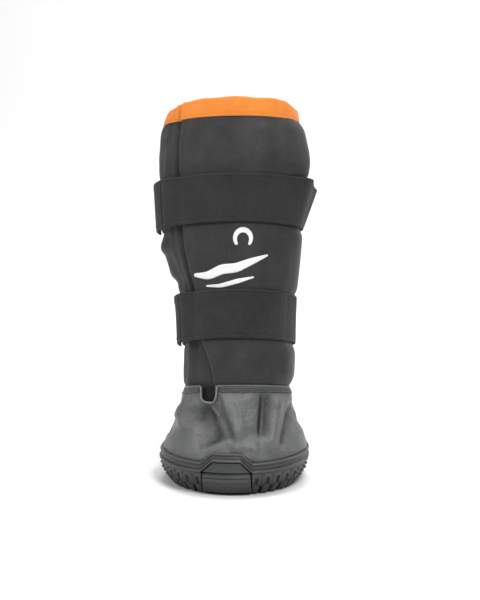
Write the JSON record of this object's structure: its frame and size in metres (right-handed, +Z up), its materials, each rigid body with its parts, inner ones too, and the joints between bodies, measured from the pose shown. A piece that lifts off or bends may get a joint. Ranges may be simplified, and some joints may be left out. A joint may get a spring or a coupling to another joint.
{
  "type": "hoof treatment boot",
  "caption": "Tall hoof treatment boot: rubber tread sole with toe guard, rubber-coated shell and a leaning wrap shaft with a front flap held by wide elastic straps.",
  "frame": {"origin": "on the ground face of the outsole, under the middle of the sole", "axes": "+Z up, -Y towards the toe, +X to the boot's left as the toe points at the viewer (image right)"},
  "size_m": [0.1737, 0.2086, 0.3973],
  "materials": {
    "tread": "matte moulded rubber",
    "rand": "matte rubber",
    "board": "woven board",
    "foam": "foam with knitted cover",
    "coated": "rubber-coated fabric, satin",
    "nylon": "coated nylon weave",
    "lining": "brushed knit",
    "hook": "hook tape",
    "loop": "loop pile tape",
    "binding": "orange woven binding",
    "elastic": "ribbed woven elastic"
  },
  "bodies": {
    "boot": {"outsole": "tread", "toe_guard": "tread", "toe_tab": "tread", "rand": "rand", "lasting_board": "board", "insole_pad": "foam", "hoof_shell": "coated", "ankle_hem": "coated", "notch_piping": "coated", "notch_gusset": "nylon", "rear_panel": "nylon", "left_panel": "nylon", "rear_lining": "lining", "closure_loop_strip": "loop", "top_binding_rear": "binding", "upper_strap_rear": "elastic", "upper_loop_patch": "loop", "lower_strap_rear": "elastic", "lower_loop_patch": "loop"},
    "front_flap": {"front_panel": "nylon", "front_lining": "lining", "closure_hook_strip": "hook", "top_binding_front": "binding"},
    "upper_strap": {"upper_strap_front": "elastic"},
    "upper_tip": {"upper_strap_tip": "elastic", "upper_hook_patch": "hook"},
    "lower_strap": {"lower_strap_front": "elastic"},
    "lower_tip": {"lower_strap_tip": "elastic", "lower_hook_patch": "hook"}
  },
  "joints": [
    {"name": "flap_open", "type": "hinge", "parent": "boot", "child": "front_flap", "pos_m": [0.05607, 0.02627, 0.09251], "axis": [0.0068, 0.2389, 0.971], "range_deg": [0, 75]},
    {"name": "upper_strap_open", "type": "hinge", "parent": "front_flap", "child": "upper_strap", "pos_m": [0.05607, 0.02627, 0.09251], "axis": [0.0068, 0.2389, 0.971], "range_deg": [0, 60]},
    {"name": "upper_tip_peel", "type": "hinge", "parent": "upper_strap", "child": "upper_tip", "pos_m": [-0.07773, 0.02174, 0.26085], "axis": [-0.0862, 0.2362, 0.9679], "range_deg": [0, 70]},
    {"name": "lower_strap_open", "type": "hinge", "parent": "front_flap", "child": "lower_strap", "pos_m": [0.05607, 0.02627, 0.09251], "axis": [0.0068, 0.2389, 0.971], "range_deg": [0, 60]},
    {"name": "lower_tip_peel", "type": "hinge", "parent": "lower_strap", "child": "lower_tip", "pos_m": [-0.05565, -0.00544, 0.14489], "axis": [-0.0881, 0.2416, 0.9664], "range_deg": [0, 70]}
  ]
}
